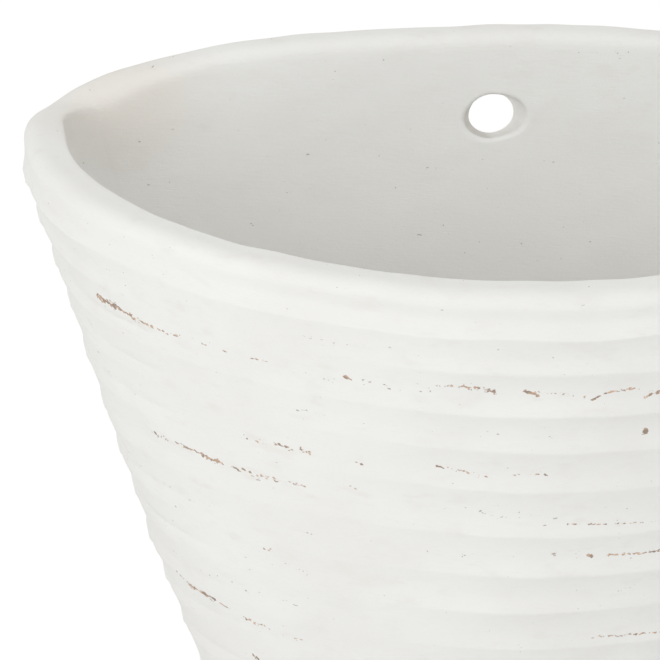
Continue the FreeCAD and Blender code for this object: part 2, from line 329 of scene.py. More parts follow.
def arch(x):
    """Height of the back's top edge: a wide middle arc, and a tighter arc tangent to it on each side."""
    lean = math.asin(CROWN_MIDDLE_REACH / CROWN_RADIUS)
    joint = np.array([CROWN_MIDDLE_REACH, CROWN_RISE - CROWN_RADIUS * (1 - math.cos(lean))])
    inward = np.array([-math.sin(lean), -math.cos(lean)])
    chord = joint - np.array([MOUTH_HALF, CROWN_FOOT])
    bend = -chord @ chord / (2 * chord @ inward)
    centre = joint + inward * bend
    middle = CROWN_RISE - CROWN_RADIUS + np.sqrt(CROWN_RADIUS ** 2 - np.minimum(np.abs(x), joint[0]) ** 2)
    side = centre[1] + np.sqrt(bend ** 2 - (np.maximum(np.abs(x), joint[0]) - centre[0]) ** 2)
    return np.where(np.abs(x) < joint[0], middle, side)


def soft_ramp(value, width):
    """0 below -width, the value itself above width, and (value + width)^2 / (4 width) between."""
    bend = (np.clip(value, -width, width) + width) ** 2 / (4 * width)
    return np.where(value > width, value, bend)


# Angle round the vase of each column, how much its rim rises, and how much of the rings it carries

rim_outer = joined(*(columns_at(part, LIP_RADIUS) for part in OUTER))
rim_inner = joined(*(columns_at(part, -LIP_RADIUS) for part in INNER))
TURN_ANGLE = np.arctan2(rim_outer[1], rim_outer[0])
TURN_DEGREES = np.degrees(TURN_ANGLE)
COLUMNS = len(TURN_ANGLE)
RISE = soft_ramp(arch(rim_outer[0]) - LIP_RADIUS, EDGE_SOFT)
RISE += LEFT_FULL * smooth_span(LEFT_FULL_X, rim_outer[0])
RISE += RIGHT_FULL * smooth_span(RIGHT_FULL_X, rim_outer[0])
RISE[:FRONT_COLUMNS] = 0
ROUND_SHARE = 1 - smooth_step(TURN, BACK_REACH - BACK_SOFT, rim_outer[1])

# The valley under the lip is deep round the front and shallow towards the left end.
valley_share = smooth_step(*VALLEY_SHARES, rim_outer[0] / MOUTH_HALF)
VALLEY = ROUND_SHARE * (VALLEY_LEAST + (1 - VALLEY_LEAST) * valley_share)


def ring_mix(field, angle, phase):
    """A ring function between two rings: the value of the ring above and below, mixed by the phase."""
    ring = np.floor(phase).astype(int)
    share = phase - ring
    above = field(angle, ring % FIELD_RINGS)
    return above * (1 - share) + field(angle, (ring + 1) % FIELD_RINGS) * share


def scallop(phase, strength_above, strength_below):
    """Relief of a ring: (1 - 2 a)^2, where a is the share of a ring from the nearest crest, rounded at the
    crest by CREST_ROUND. Each side has its crest's strength."""
    share = phase - np.floor(phase)
    nearest = np.minimum(share, 1 - share)
    away = np.sqrt(nearest ** 2 + CREST_ROUND ** 2)
    return (1 - 2 * away) ** 2 * np.where(share < 0.5, strength_above, strength_below)


def crease(phase, ring):
    """Narrow groove low in each ring near the left side: exp(-((phase - CREASE_PHASE) / CREASE_WIDTH)^2)."""
    near_left = smooth_span(CREASE_TURNS, TURN_DEGREES) * (TURN_DEGREES < 0)
    field = RING_STRENGTH(TURN_ANGLE, (ring + CREASE_FIELD) % FIELD_RINGS)
    depth = np.clip(CREASE_MEAN + UNEVEN_CREASE * field, 0, CREASE_MOST)
    away = (phase - np.floor(phase) - CREASE_PHASE) / CREASE_WIDTH
    return CREASE_DEPTH * depth * near_left * np.exp(-away ** 2)


def crest_strength(ring):
    """How strong a ring's crest is round the vase: 1 plus a slow uneven field, LEFT_END at the left end,
    less still on the left of the front, and 0 round the back."""
    strength = 1 + UNEVEN_CREST * RING_STRENGTH(TURN_ANGLE, ring % FIELD_RINGS)
    strength = strength * (LEFT_END + (1 - LEFT_END) * smooth_step(*LEFT_TURNS, TURN_DEGREES))
    return strength * (1 - CALM * smooth_span(CALM_TURNS, TURN_DEGREES)) * ROUND_SHARE


FIRST_CREST = GROOVE - draw_in(crests[0]) + RING_DEPTH * crest_strength(np.array([[0]]))


def cap_reach(height):
    """Outside reach of the rim's top at a height: radius * (1 - (height / top)^n)^(1 / n)."""
    share = np.clip(height / CAP_HEIGHT, 0, 1)
    return LIP_RADIUS * (1 - share ** OUTER_POWER) ** (1 / OUTER_POWER)


def lip_reach(z):
    """Outside of the rim from the first crest up to the lip's edge, as a distance from the lip's middle
    line: a valley of two curves that meet upright at its floor, mixed with a plain round lip."""
    above = VALLEY_REACH + (cap_reach(z) - VALLEY_REACH) * smooth_step(-VALLEY_DEPTH, LIP_EDGE, z)
    share_below = np.clip((-z - VALLEY_DEPTH) / (crests[0] - VALLEY_DEPTH), 0, 1)
    below = VALLEY_REACH + (FIRST_CREST - VALLEY_REACH) * share_below ** VALLEY_POWER
    valley = np.where(z > -VALLEY_DEPTH, above, below)
    share = np.clip(-z / crests[0], 0, 1)
    plain = cap_reach(z) + (FIRST_CREST - LIP_RADIUS) * share * share * (2 - share)
    return plain + (valley - plain) * VALLEY


def vector_swell(seeds, wavelength, count=7):
    """Smooth random push of places: three swell fields, one for each direction."""
    fields = [swell_field(seed, wavelength, count) for seed in seeds]

    def push(places):
        return np.stack([field(places) for field in fields], axis=-1)

    return push


WARP = vector_swell((3, 4, 5), 75 * MM)
SWAY = vector_swell((11, 12, 13), 24 * MM, count=11)
DENTS = vector_swell((21, 22, 23), 9 * MM, count=15)


def soft_limit(value, low, high, margin=0.15 * MM):
    """The value itself up to a margin inside the limits, and beyond that an exponential approach to them."""
    over = value - (high - margin)
    value = np.where(over > 0, high - margin * np.exp(-np.maximum(over, 0) / margin), value)
    under = (low + margin) - value
    return np.where(under > 0, low + margin * np.exp(-np.maximum(under, 0) / margin), value)


box_low = np.array(cad_bounds[0]) - HOME
box_high = np.array(cad_bounds[1]) - HOME


def hand_made(places):
    """Places pushed about as by hand: slow warp, sway and dents, kept inside the vase's own box."""
    pushed = places + WARP_PUSH * WARP(places) + SWAY_PUSH * SWAY(places) + DENT_PUSH * DENTS(places)
    return soft_limit(pushed, box_low, box_high)


# The whole vase as one grid: up the outside, over the rim and down the inside

def wall_places(parts, reach, depths, depth_shift):
    """Places of wall rows: the outline's parts at their reach, at the depth less the shift, stretched up at
    the back by the rim's rise, which fades evenly down to the base."""
    reach = np.broadcast_to(reach, (len(depths), COLUMNS))
    middle = FRONT_COLUMNS + BACK_COLUMNS - 2
    reach_front = reach[:, :FRONT_COLUMNS]
    reach_back = np.concatenate([reach[:, FRONT_COLUMNS - 1 : middle], reach[:, :1]], axis=1)
    x, y = joined(columns_at(parts[0], reach_front), columns_at(parts[1], reach_back))
    fade = np.clip((-BASE_TOP - depths) / (-BASE_TOP - LIP_SEAT), 0, 1)[:, None]
    z = np.broadcast_to(-depths[:, None] - depth_shift + RISE * fade, reach.shape)
    return np.stack([x, y, z], axis=-1)


def ring_shift(depths, phases):
    """How far each row sinks to give the rings their uneven level, 0 at the seat and at the base."""
    hold = smooth_step(LIP_SEAT, crests[0], depths) * (1 - smooth_step(crests[-1], -BASE_TOP, depths))
    field = ring_mix(RING_LEVEL, TURN_ANGLE[None, :], phases[:, None])
    return RING_WANDER * field * hold[:, None] * ROUND_SHARE


def outer_wall():
    """Rows of the outside from the seat down: groove level plus the scalloped relief, less the creases,
    and the valley's lower part above the first crest."""
    ring = np.floor(PHASES).astype(int)
    above = crest_strength(np.maximum(ring, 0)[:, None])
    below = crest_strength((ring + 1)[:, None])
    relief = RING_DEPTH * scallop(PHASES[:, None], above, below)
    past_last = PHASES[:, None] - len(crests) + 1
    fading = RING_DEPTH * above * (1 - smooth_step(0, FOOT_PHASE, past_last))
    relief = np.where(past_last > 0, fading, relief)
    reach = GROOVE - draw_in(DEPTHS)[:, None] + relief - crease(PHASES[:, None], ring[:, None])
    reach[:BAND] = lip_reach(-DEPTHS[:BAND, None])
    return wall_places(OUTER, reach, DEPTHS, ring_shift(DEPTHS, PHASES))


def inner_wall():
    """Rows of the inside from the seat down: the wall's thickness in from the groove level."""
    reach = GROOVE - WALL - draw_in(DEPTHS)[:, None]
    return wall_places(INNER, reach, DEPTHS, 0.0)


def lip_arc(angle):
    """Reach and height over the rim's top at an angle from the outside: |cos|^(2 / n) of the reach and
    sin^(2 / n) of the height, with the power n of each side, a flat top with round edges."""
    outside = np.cos(angle) > 0
    power = np.where(outside, OUTER_POWER, BACK_POWER + (INNER_POWER - BACK_POWER) * ROUND_SHARE)
    half = np.where(outside, LIP_RADIUS, INNER_BACK * ROUND_SHARE - LIP_RADIUS)
    return half * np.abs(np.cos(angle)) ** (2 / power), CAP_HEIGHT * np.sin(angle) ** (2 / power) + 0 * half


ARC_START = math.asin((LIP_EDGE / CAP_HEIGHT) ** (OUTER_POWER / 2))
ARC_END = math.pi - math.asin((LIP_EDGE / CAP_HEIGHT) ** (INNER_POWER / 2))


def arc_angles(count):
    """Angles over the rim's top: the mean of even steps in the angle and even steps in the way it faces."""
    steady = np.linspace(ARC_START, ARC_END, count + 1)
    across = np.cos(steady)
    power = np.where(across > 0, OUTER_POWER, INNER_POWER)
    sharp = power / (2 * (power - 1))
    turned = np.arctan2(np.sin(steady) ** sharp, np.sign(across) * np.abs(across) ** sharp)
    mean = (steady + turned) / 2
    low, high = mean[0], mean[-1]
    return (ARC_START + (mean - low) * (ARC_END - ARC_START) / (high - low))[1:]


def lip_tail():
    """Cubic curve from the lip arc's inner end down into the inside wall: its reach, the front's height
    and how much higher each column is."""
    share = np.linspace(0, 1, TAIL_STEPS + 1)[1:, None, None]
    reach, height = lip_arc(np.array(ARC_END))
    start = np.stack([reach, height])
    end = np.array([GROOVE - WALL - draw_in(LIP_SEAT), -LIP_SEAT])[:, None]
    leave = np.array([-TAIL_LEAN, -1.0])[:, None] * TAIL_PULL
    slope = (draw_in(LIP_SEAT) - draw_in(0)) / LIP_SEAT
    arrive = np.array([-slope, -1.0])[:, None] * TAIL_PULL
    curve = (
        (2 * share ** 3 - 3 * share ** 2 + 1) * start
        + (share ** 3 - 2 * share ** 2 + share) * leave
        + (3 * share ** 2 - 2 * share ** 3) * end
        + (share ** 3 - share ** 2) * arrive
    )
    front_height = curve[:, 1, FRONT_COLUMNS // 2]
    return curve[:, 0], front_height, curve[:, 1] - front_height[:, None]


def rim_rows():
    """Rim rows from the outer seat over the top to the inner seat: outlines up to the lip's edge, then
    across from the outer to the inner line by the arc's reach, then outlines again down its tail."""
    levels = np.linspace(-LIP_SEAT, LIP_EDGE, LIP_STEPS + 1)
    low = wall_places(OUTER, lip_reach(levels[:, None]), -levels, 0.0)
    reach, height = lip_arc(arc_angles(ARC_STEPS)[:, None])
    share = (reach / LIP_RADIUS + 1) / 2
    over = np.stack([
        rim_inner[0] + (rim_outer[0] - rim_inner[0]) * share,
        rim_inner[1] + (rim_outer[1] - rim_inner[1]) * share,
        height + RISE,
    ], axis=-1)
    tail_reach, tail_height, tail_extra = lip_tail()
    down = wall_places(INNER, tail_reach, -tail_height, -tail_extra)
    return np.concatenate([low, over, down])


outside = outer_wall()
rim = rim_rows()
inside = inner_wall()
even = np.concatenate([outside[::-1], rim[1:-1], inside])
whole = hand_made(even)
WALL_ROWS = len(DEPTHS)
RIM_ROWS = len(rim)
outer_rows = slice(0, WALL_ROWS)
rim_span = slice(WALL_ROWS - 1, WALL_ROWS - 1 + RIM_ROWS)
inner_rows = slice(WALL_ROWS - 2 + RIM_ROWS, 2 * WALL_ROWS - 2 + RIM_ROWS)


def grid_normals(grid):
    """Unit normals of a grid that is closed sideways: the cross product of the differences both ways."""
    along = np.roll(grid, -1, axis=1) - np.roll(grid, 1, axis=1)
    down = np.gradient(grid, axis=0)
    normal = np.cross(along, down)
    return normal / np.linalg.norm(normal, axis=-1, keepdims=True)


whole_normals = grid_normals(whole)


# Camera: the place and turn that give the photograph's view, for a picture of 660 by 660 pixels

PICTURE = 660
PIXEL = 0.196 * MM
SENSOR = 36.0
TILT = math.radians(23)
SWING = 0.14102
ROLL = 0.04717
STAND_OFF = 6000 * PIXEL
AIM_RIGHT = 166.34 * PIXEL
AIM_UP = 186.65 * PIXEL
CLIP_START = 0.05
CLIP_END = 50.0

forward = np.array([math.sin(SWING) * math.cos(TILT), math.cos(SWING) * math.cos(TILT), -math.sin(TILT)])
level_right = np.array([math.cos(SWING), -math.sin(SWING), 0.0])
level_up = np.array([math.sin(SWING) * math.sin(TILT), math.cos(SWING) * math.sin(TILT), math.cos(TILT)])
camera_right = math.cos(ROLL) * level_right + math.sin(ROLL) * level_up
camera_up = math.cos(ROLL) * level_up - math.sin(ROLL) * level_right
camera_place = -AIM_RIGHT * level_right - AIM_UP * level_up - STAND_OFF * forward


def pixels_of(places):
    """Pixel of each place in the vase's frame: its offsets right and up, each over its depth, on a picture
    whose pixel is PIXEL wide at the stand-off distance."""
    seen = places - camera_place
    depth = seen @ forward
    across = seen @ camera_right * STAND_OFF / depth / PIXEL
    up = seen @ camera_up * STAND_OFF / depth / PIXEL
    return PICTURE / 2 + across, PICTURE / 2 - up


WAY_ROUND = np.concatenate([[0], np.cumsum(np.hypot(*np.diff(rim_outer)))])
seen_x, seen_y = pixels_of(whole[outer_rows][::-1, :FRONT_COLUMNS])


def wall_spot(pixel_x, pixel_y):
    """Way round and depth of the wall's place at a pixel: the nearest place of the grid, plus a step solved
    from the pixel's differences to the next column and the next row."""
    row, column = np.unravel_index(np.argmin(np.hypot(seen_x - pixel_x, seen_y - pixel_y)), seen_x.shape)
    row = min(max(row, 1), len(seen_x) - 2)
    column = min(max(column, 1), FRONT_COLUMNS - 2)
    ahead = np.array([
        [seen[row, column + 1] - seen[row, column - 1], seen[row + 1, column] - seen[row - 1, column]]
        for seen in (seen_x, seen_y)
    ])
    missed = np.array([pixel_x - seen_x[row, column], pixel_y - seen_y[row, column]])
    steps = np.linalg.solve(ahead, missed)
    round_step = (WAY_ROUND[column + 1] - WAY_ROUND[column - 1]) * steps[0]
    down_step = (DEPTHS[row + 1] - DEPTHS[row - 1]) * steps[1]
    return float(WAY_ROUND[column] + round_step), float(DEPTHS[row] + down_step), 0.0


# Marks that show in the photograph, as strokes: from x, y to x, y, width and strength, in pixels
RUST_PIXELS = [
    (98, 296, 116, 306, 8.0, 1.15), (114, 306, 134, 318, 6.4, 1.05), (132, 317, 152, 326, 5.2, 0.9),
    (155, 328, 183, 338, 5.0, 0.7), (203, 344, 206, 345, 3.6, 0.7), (223, 350, 230, 353, 4.4, 0.85),
    (250, 358, 269, 362, 4.2, 0.6), (294, 371, 312, 373, 4.2, 0.65), (345, 377, 350, 379, 4.6, 1.1),
    (360, 381, 395, 386, 4.6, 0.6), (424, 389, 436, 386, 5.0, 0.8), (440, 386, 462, 387, 5.0, 0.72),
    (458, 386, 478, 388, 5.8, 0.85), (484, 389, 494, 392, 5.6, 0.95), (525, 391, 538, 395, 5.8, 1.15),
    (550, 393, 584, 397, 4.6, 0.7), (592, 400, 612, 391, 4.4, 0.8), (612, 391, 640, 388, 4.4, 0.75),
    (644, 397, 660, 391, 5.6, 1.0), (645, 430, 645, 432, 5.8, 1.5), (437, 466, 443, 468, 4.4, 1.05),
    (448, 468, 492, 478, 4.0, 0.7), (152, 432, 167, 439, 5.2, 0.95), (177, 443, 204, 455, 5.0, 0.9),
    (202, 455, 222, 463, 6.4, 1.0), (232, 467, 277, 480, 6.6, 0.75), (277, 480, 307, 487, 5.0, 0.65),
    (232, 435, 270, 445, 5.0, 0.55), (276, 444, 292, 449, 7.0, 0.85), (301, 449, 313, 456, 7.0, 0.85),
    (356, 462, 361, 464, 4.6, 1.0), (177, 572, 192, 586, 4.0, 0.85), (189, 584, 216, 600, 6.6, 1.1),
    (214, 599, 231, 610, 4.2, 0.85), (238, 615, 262, 625, 5.0, 0.9), (262, 625, 308, 642, 4.4, 0.6),
    (264, 549, 270, 550, 4.8, 1.05), (588, 555, 591, 556, 5.4, 1.3), (606, 555, 660, 551, 4.2, 0.85),
    (568, 524, 660, 521, 3.2, 0.75), (590, 637, 660, 632, 4.0, 0.75), (325, 478, 365, 492, 5.0, 0.5),
    (510, 474, 550, 475, 3.4, 0.65), (253, 655, 259, 660, 5.6, 1.05),
]

# Hanging hole: rings of places from the slab's inner face, through the hole, to its back face

HOLE_SHIFT = 0.6 * MM
MOUTH_HALF_WIDTH = 5.9 * MM
MOUTH_HALF_HEIGHT = 4.7 * MM
MOUTH_LIFT = 1.9 * MM
BORE_RADIUS = 4.4 * MM
BORE_LENGTH = 0.9 * MM
MOUTH_EDGE = 1.1 * MM
BORE_EDGE = 0.4 * MM
MOUTH_RAGGED = 0.022
BORE_RAGGED = 0.012
RAGGED_WAVES = ((2, 1.0, 0.8), (3, 0.7, 2.1), (5, 0.5, 4.0))
WINDOW_HALF = 10.5 * MM
MIDDLE = FRONT_COLUMNS + BACK_COLUMNS // 2 - 1
BACK_INDEX = np.append(np.arange(FRONT_COLUMNS - 1, COLUMNS), 0)

# Shares and turns at which the hole has rings: on its way in over the inner face, round the mouth's edge,
# down the flare and the bore, round the bore's edge, and out over the back face.
RAYS_IN = (0.15, 0.32, 0.5, 0.68, 0.84, 0.95)
MOUTH_TURNS = (0, 18, 36, 54, 72, 90)
FLARE_SHARES = (0.12, 0.3, 0.5, 0.7, 0.88, 1.0)
BORE_SHARES = (0.3, 0.65, 1.0)
BORE_TURNS = (22.5, 45, 67.5, 90)
RAYS_OUT = (0.08, 0.2, 0.38, 0.58, 0.8)
FLARE_BULGE = 0.06

# The rings from the first to the second of these are inside the hole, and shaded towards this side.
SHADED_RINGS = (len(RAYS_IN) + 4, len(RAYS_IN) + len(MOUTH_TURNS) + len(FLARE_SHARES) + len(BORE_SHARES) + 2)
SHADED_SIDE = math.radians(200)
SHADED_COSINES = (0.1, 0.75)


def window_ranges():
    """Rows and columns of the outside's window round the hole, by its middle column's levels and by x."""
    level = whole[outer_rows, MIDDLE, 2]
    rows = np.flatnonzero(np.abs(level - HOLE_LEVEL - MOUTH_LIFT / 2) < WINDOW_HALF)
    columns = np.flatnonzero(np.abs(rim_outer[0][BACK_INDEX]) < WINDOW_HALF)
    return rows[0], rows[-1], columns[0], columns[-1]


def window_loop(first_row, last_row, first_column, last_column):
    """Row and column of each place on a window's edge, once round."""
    rows = np.arange(first_row, last_row)
    columns = np.arange(first_column, last_column)
    loop_rows = np.concatenate([
        np.full(len(columns), first_row), rows, np.full(len(columns), last_row), rows[::-1] + 1,
    ])
    loop_columns = np.concatenate([
        columns, np.full(len(rows), last_column), columns[::-1] + 1, np.full(len(rows), first_column),
    ])
    return loop_rows, loop_columns


def hole_ring(angle, half_width, half_height, centre_x, centre_z, ragged):
    """Ellipse through the given angles, its radius times 1 + ragged * the sum of size * sin(count * angle
    + phase) over the ragged waves."""
    waves = sum(size * np.sin(count * angle + phase) for count, size, phase in RAGGED_WAVES)
    radius = 1 + ragged * waves
    radius = radius / np.hypot(np.cos(angle) / half_width, np.sin(angle) / half_height)
    return np.stack([centre_x + radius * np.cos(angle), centre_z + radius * np.sin(angle)], axis=-1)


def hole_rings(inner_edge, outer_edge):
    """Rings from the inner window's edge to the outer one: rays run in to the mouth, a rounded edge, the
    flare as a mix of mouth and bore, the bore, its rounded edge, and rays back out."""
    mouth_z = HOLE_LEVEL + MOUTH_LIFT
    angle = np.arctan2(inner_edge[:, 2] - mouth_z, inner_edge[:, 0] - HOLE_SHIFT)
    mouth = hole_ring(angle, MOUTH_HALF_WIDTH, MOUTH_HALF_HEIGHT, HOLE_SHIFT / 2, mouth_z, MOUTH_RAGGED)
    bore = hole_ring(angle, BORE_RADIUS, BORE_RADIUS, HOLE_SHIFT, HOLE_LEVEL, BORE_RAGGED)
    out_mouth = mouth + (mouth - [HOLE_SHIFT, mouth_z]) * MOUTH_EDGE / MOUTH_HALF_WIDTH
    out_bore = bore + (bore - [HOLE_SHIFT, HOLE_LEVEL]) * BORE_EDGE / BORE_RADIUS
    rings = []
    for share in RAYS_IN:
        flat = inner_edge[:, [0, 2]] * (1 - share) + out_mouth * share
        rings.append((flat, inner_edge[:, 1] * (1 - share) + SEAM * share))
    for turn in np.radians(MOUTH_TURNS):
        flat = out_mouth + (mouth - out_mouth) * math.sin(turn)
        rings.append((flat, SEAM + MOUTH_EDGE * (1 - math.cos(turn))))
    depth_left = BACK_REACH - BORE_LENGTH - SEAM - MOUTH_EDGE
    for share in FLARE_SHARES:
        eased = share + FLARE_BULGE * math.sin(2 * math.pi * share)
        rings.append((mouth * (1 - eased) + bore * eased, SEAM + MOUTH_EDGE + depth_left * share))
    for share in BORE_SHARES:
        rings.append((bore, BACK_REACH - BORE_LENGTH + (BORE_LENGTH - BORE_EDGE) * share))
    for turn in np.radians(BORE_TURNS):
        flat = bore + (out_bore - bore) * (1 - math.cos(turn))
        rings.append((flat, BACK_REACH - BORE_EDGE + BORE_EDGE * math.sin(turn)))
    for share in RAYS_OUT:
        flat = out_bore * (1 - share) + outer_edge[:, [0, 2]] * share
        rings.append((flat, BACK_REACH * (1 - share) + outer_edge[:, 1] * share))
    flats = np.stack([flat for flat, _ in rings])
    levels = np.stack([np.broadcast_to(y, len(angle)) for _, y in rings])
    return np.stack([flats[..., 0], levels, flats[..., 1]], axis=-1)


# Meshes

def strip_faces(index, closed_rows=False, closed_columns=False):
    """Quads between neighbours of a grid of vertex numbers: down one row, then across one column."""
    if closed_rows:
        index = np.concatenate([index, index[:1]])
    if closed_columns:
        index = np.concatenate([index, index[:, :1]], axis=1)
    return np.stack([index[:-1, :-1], index[:-1, 1:], index[1:, 1:], index[1:, :-1]], axis=-1)


def end_faces(line, turned):
    """Flat end of a closed section: each vertex of the way out is tied to its opposite on the way back."""
    half = len(line) // 2
    there = line[:half]
    back = line[::-1][:half]
    quads = np.stack([there[:-1], there[1:], back[1:], back[:-1]], axis=-1)
    return quads[:, ::-1] if turned else quads


def make_piece(name, places, normals, smooth_quads, flat_quads, marks, smooth_triangles=None):
    """Mesh from places and quads. Smooth faces take the grid's normals and flat faces their own."""
    triangles = np.zeros((0, 3), int) if smooth_triangles is None else smooth_triangles
    quads = np.concatenate([smooth_quads.reshape(-1, 4), flat_quads.reshape(-1, 4)])
    used = np.unique(np.concatenate([quads.ravel(), triangles.ravel()]))
    number = np.zeros(len(places), int)
    number[used] = np.arange(len(used))
    corners = np.concatenate([number[quads].ravel(), number[triangles].ravel()])
    starts = np.concatenate([np.arange(len(quads)) * 4, len(quads) * 4 + np.arange(len(triangles)) * 3])
    mesh = bpy.data.meshes.new(name)
    mesh.vertices.add(len(used))
    mesh.vertices.foreach_set("co", (places[used] + HOME).astype(np.float32).ravel())
    mesh.loops.add(len(corners))
    mesh.loops.foreach_set("vertex_index", corners.astype(np.int32))
    mesh.polygons.add(len(starts))
    mesh.polygons.foreach_set("loop_start", starts.astype(np.int32))
    mesh.update(calc_edges=True)
    mesh.validate()
    mesh.shade_smooth()
    for label, values in marks.items():
        attribute = mesh.attributes.new(label, "FLOAT", "POINT")
        attribute.data.foreach_set("value", values[used].astype(np.float32))
    loop_normals = normals[used][corners]
    flat = flat_quads.reshape(-1, 4)
    if len(flat):
        across = places[flat[:, 2]] - places[flat[:, 0]]
        other = places[flat[:, 3]] - places[flat[:, 1]]
        facing = np.cross(across, other)
        facing /= np.maximum(np.linalg.norm(facing, axis=1, keepdims=True), 1e-12)
        first = len(smooth_quads.reshape(-1, 4)) * 4
        loop_normals[first : first + len(flat) * 4] = np.repeat(facing, 4, axis=0)
    mesh.normals_split_custom_set(loop_normals.tolist())
    piece = bpy.data.objects.new(name, mesh)
    bpy.context.scene.collection.objects.link(piece)
    return piece


def section_piece(name, rows, columns, hidden_rows, window=None):
    """Piece cut from the whole grid: the rows as a closed section, carried along the columns, with flat
    faces on the hidden rows and at both ends. A window is left out and filled with rings through it."""
    grid = whole[rows][:, columns]
    normals = whole_normals[rows][:, columns]
    values = {label: field[rows][:, columns].ravel() for label, field in whole_marks.items()}
    index = np.arange(grid.shape[0] * grid.shape[1]).reshape(grid.shape[:2])
    quads = strip_faces(index, closed_rows=True)
    keep = np.ones(len(quads), bool)
    keep[hidden_rows] = False
    flat = quads[hidden_rows].reshape(-1, 4)
    ends = [end_faces(index[:, 0], False), end_faces(index[:, -1], True)]
    places = grid.reshape(-1, 3)
    normals = normals.reshape(-1, 3)
    smooth = quads[keep].reshape(-1, 4)
    if window is not None:
        first_row, last_row, first_column, last_column = window
        total = grid.shape[0]
        hole = np.zeros(quads.shape[:2], bool)
        hole[first_row:last_row, first_column:last_column] = True
        hole[total - 1 - last_row : total - 1 - first_row, first_column:last_column] = True
        smooth = quads[keep][~hole[keep]]
        loop_rows, loop_columns = window_loop(*window)
        outer_loop = index[loop_rows, loop_columns]
        inner_loop = index[total - 1 - loop_rows, loop_columns]
        even_places = even[rows][:, columns].reshape(-1, 3)
        rings = hand_made(hole_rings(even_places[inner_loop], even_places[outer_loop]))
        tube_places = np.concatenate([places[inner_loop][None], rings, places[outer_loop][None]])
        ring_normals = -grid_normals(tube_places)[1:-1]
        ring_index = len(places) + np.arange(rings.shape[0] * rings.shape[1]).reshape(rings.shape[:2])
        tube = np.concatenate([inner_loop[None], ring_index, outer_loop[None]])
        smooth = np.concatenate([smooth, strip_faces(tube, closed_columns=True).reshape(-1, 4)[:, ::-1]])
        places = np.concatenate([places, rings.reshape(-1, 3)])
        normals = np.concatenate([normals, ring_normals.reshape(-1, 3)])
        ring_values = hole_marks(rings)
        values = {label: np.concatenate([field, ring_values[label]]) for label, field in values.items()}
    return make_piece(name, places, normals, smooth, np.concatenate([flat, *ends]), values)


# Marks that the material reads: "ring" counts the rings down the outside, is -1 on the rim and fades to -2
# down the inside, which sets how much painted light lifts the inside, and goes down to -3 on the hole's
# shaded side, which sets its painted shade; "round" is the way round and "down" the depth, which is -1 off
# the front's outside.
INSIDE_FADE = 40 * MM
inside_phase = -1.0 - np.clip(DEPTHS / INSIDE_FADE, 0, 1)
row_phase = np.concatenate([PHASES[::-1], np.full(RIM_ROWS - 2, -1.0), inside_phase])
row_down = np.concatenate([DEPTHS[::-1], np.full(RIM_ROWS - 2 + WALL_ROWS, -1.0)])
whole_phase = row_phase[:, None] + np.zeros(COLUMNS)
whole_down = row_down[:, None] + np.zeros(COLUMNS)
whole_down[:, FRONT_COLUMNS:] = -1
whole_marks = {
    "ring": whole_phase,
    "round": np.broadcast_to(WAY_ROUND, whole_phase.shape),
    "down": whole_down,
}


def hole_marks(rings):
    """Mark values on the hole's rings: the inside wall's own value at each height up to the bore, then the
    outside's, and down to -3 on the shaded left of the flare and the bore."""
    heights = rings[..., 2]
    within = np.interp(heights, whole[inner_rows, MIDDLE, 2][::-1], row_phase[inner_rows][::-1])
    without = np.interp(heights, whole[outer_rows, MIDDLE, 2], row_phase[outer_rows])
    angle = np.arctan2(heights - HOLE_LEVEL - MOUTH_LIFT / 2, rings[..., 0] - HOLE_SHIFT)
    shade = smooth_step(*SHADED_COSINES, np.cos(angle - SHADED_SIDE))
    number = np.arange(len(rings))[:, None]
    values = np.where(number < SHADED_RINGS[0], within, -2.0 - shade)
    values = np.where(number >= SHADED_RINGS[1], without, values)
    none = np.zeros(rings.shape[0] * rings.shape[1])
    return {"ring": values.ravel(), "round": none, "down": none - 1.0}


all_rows = np.arange(len(whole))
wall_out = all_rows[outer_rows]
wall_in = all_rows[inner_rows]
wall_rows = np.concatenate([wall_out, wall_in])
front_index = np.arange(FRONT_COLUMNS)
front_wall = section_piece("front_wall_clay", wall_rows, front_index, [WALL_ROWS - 1, 2 * WALL_ROWS - 1])
rim_lip = section_piece("rim_lip_clay", all_rows[rim_span], front_index, [RIM_ROWS - 1])
back_slab = section_piece(
    "back_slab_clay", all_rows, BACK_INDEX, [len(all_rows) - 1], window=window_ranges(),
)

# The base: shares of its edge's height, turns of its chamfer and shares of the way to the middle at which
# it has rings, and how far its underside is hollowed and its top dented.
BASE_DROPS = np.array([0, 0.12, 0.35, 0.65, 0.87, 1.0])
CHAMFER_TURNS = (25, 50, 75, 90)
BASE_SHARES = np.array([0.97, 0.9, 0.8, 0.65, 0.5, 0.35, 0.2, 0.08])
UNDER_HOLLOW = 0.5 * MM
BASE_DENTS = 0.12 * MM


